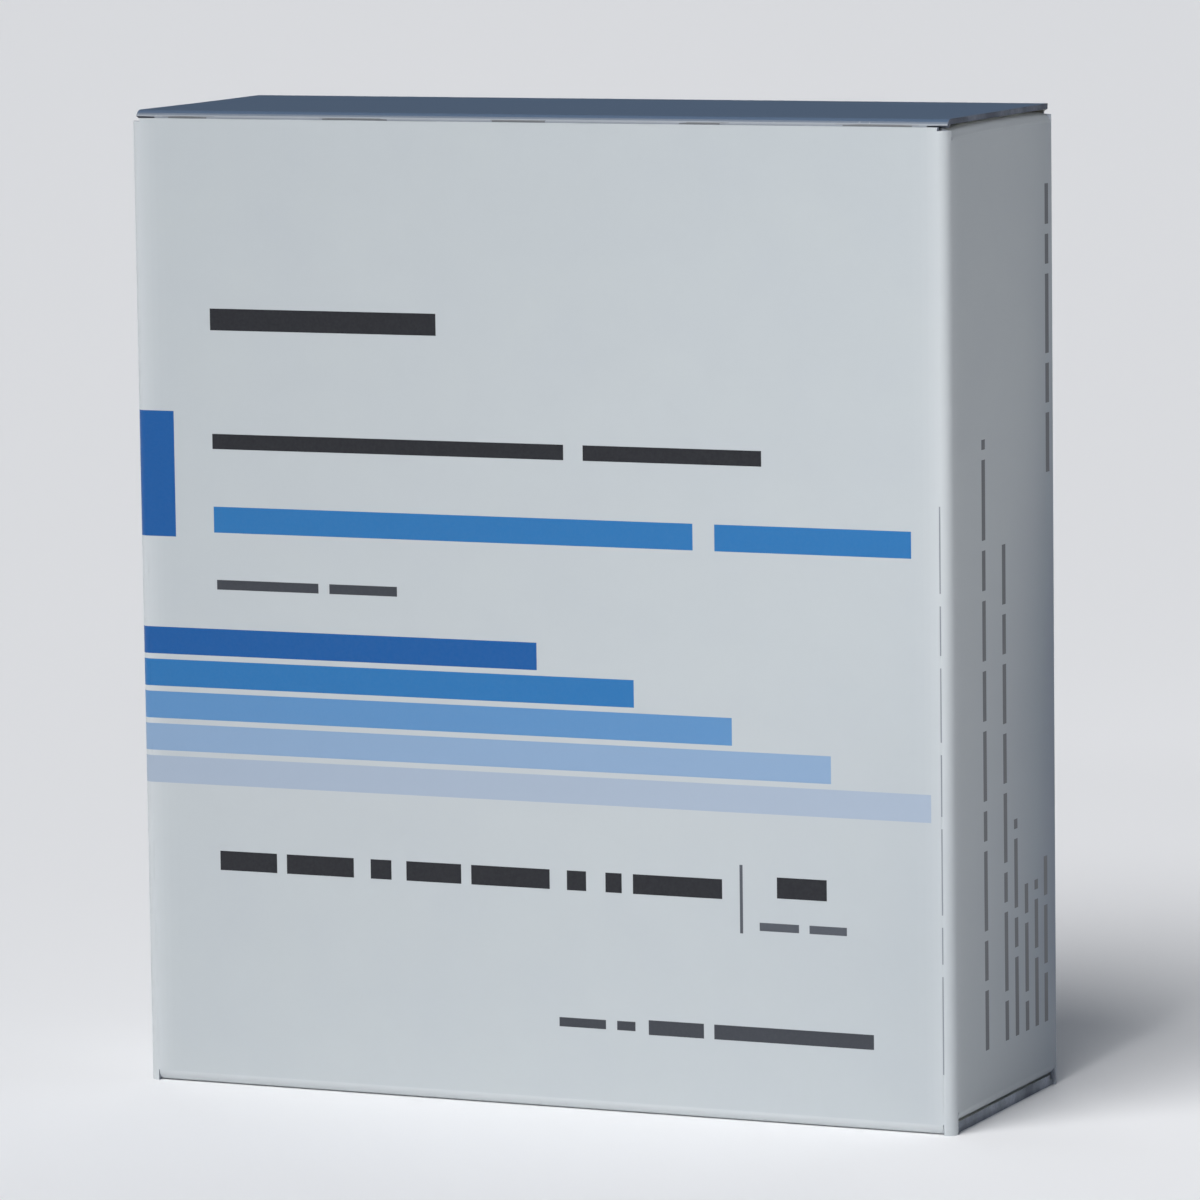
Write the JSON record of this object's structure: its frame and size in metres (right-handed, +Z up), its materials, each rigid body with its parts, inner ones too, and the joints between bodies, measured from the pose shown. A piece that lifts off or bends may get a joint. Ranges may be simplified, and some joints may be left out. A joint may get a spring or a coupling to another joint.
{
  "type": "boxed microscope slides",
  "caption": "Upright tuck-top folding carton of white coated board, with a hinged lid over a row of ground-edge glass microscope slides standing on end.",
  "frame": {"origin": "middle of the base, on the surface that the carton stands on", "axes": "+Z up, +X to the right along the wide front, +Y from the printed front to the back"},
  "size_m": [0.08, 0.027, 0.09],
  "materials": {
    "carton_board": "satin clay-coated white board",
    "lid_board": "satin coated board, printed slate blue outside",
    "slide_glass": "clear soda-lime glass with ground edges and a frosted end"
  },
  "bodies": {
    "carton": {"carton": "carton_board", "slides": "slide_glass"},
    "lid": {"lid": "lid_board"}
  },
  "joints": [
    {"name": "lid_crease", "type": "hinge", "parent": "carton", "child": "lid", "pos_m": [0, 0.0131, 0.0896], "axis": [-1, 0, 0], "range_deg": [0, 175]}
  ]
}
